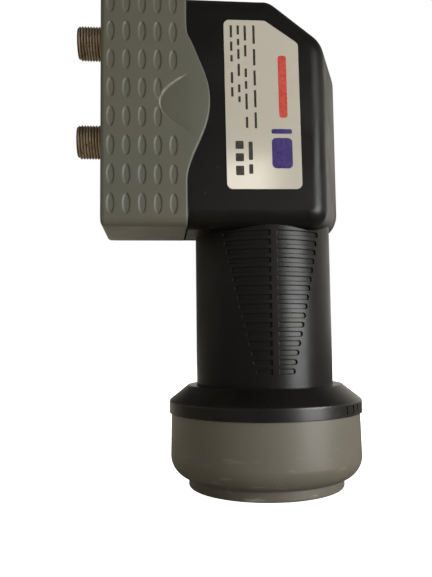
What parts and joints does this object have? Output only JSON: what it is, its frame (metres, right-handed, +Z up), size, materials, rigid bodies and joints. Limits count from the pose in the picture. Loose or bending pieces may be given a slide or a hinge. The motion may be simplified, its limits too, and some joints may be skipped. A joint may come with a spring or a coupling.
{
  "type": "satellite lnb",
  "caption": "Dish feed converter with a round neck for a clamp, a capped horn below, a cut-corner housing above and a sliding cover over its side ports",
  "frame": {"origin": "centre of the flat end face of the feed cap", "axes": "+Z runs up the horn axis to the housing, -X out of the ports, -Y out of the labelled front"},
  "size_m": [0.0818, 0.0562, 0.1368],
  "materials": {
    "black_plastic": "satin moulded black",
    "gray_plastic": "satin moulded olive gray",
    "silver_film": "satin silver film",
    "plated_brass": "dull nickel plate",
    "cast_alloy": "as cast",
    "board": "coated laminate",
    "screw_steel": "plated",
    "bare_brass": "turned",
    "white_plastic": "plain white",
    "puck_ceramic": "sintered",
    "soft_rubber": "matte"
  },
  "bodies": {
    "housing": {"front_shell": "black_plastic", "rear_shell": "black_plastic", "cap_ring": "black_plastic", "feed_cap": "gray_plastic", "rating_label": "silver_film", "f_connector_upper": "plated_brass", "f_connector_lower": "plated_brass", "horn_casting": "cast_alloy", "shield_lid": "cast_alloy", "circuit_board": "board", "lid_screws": "screw_steel", "tuning_screws": "bare_brass", "front_probe": "bare_brass", "side_probe": "bare_brass", "isolation_pin": "bare_brass", "contact_upper": "bare_brass", "contact_lower": "bare_brass", "probe_beads": "white_plastic", "insulator_upper": "white_plastic", "insulator_lower": "white_plastic", "low_band_resonator": "puck_ceramic", "high_band_resonator": "puck_ceramic", "absorber_pad": "soft_rubber", "cap_seal": "soft_rubber", "port_seal_upper": "soft_rubber", "port_seal_lower": "soft_rubber"},
    "cover": {"weather_cover": "gray_plastic"}
  },
  "joints": [
    {"name": "cover_slide", "type": "slide", "parent": "housing", "child": "cover", "axis": [-1, 0, 0], "range_m": [0, 0.015]}
  ]
}
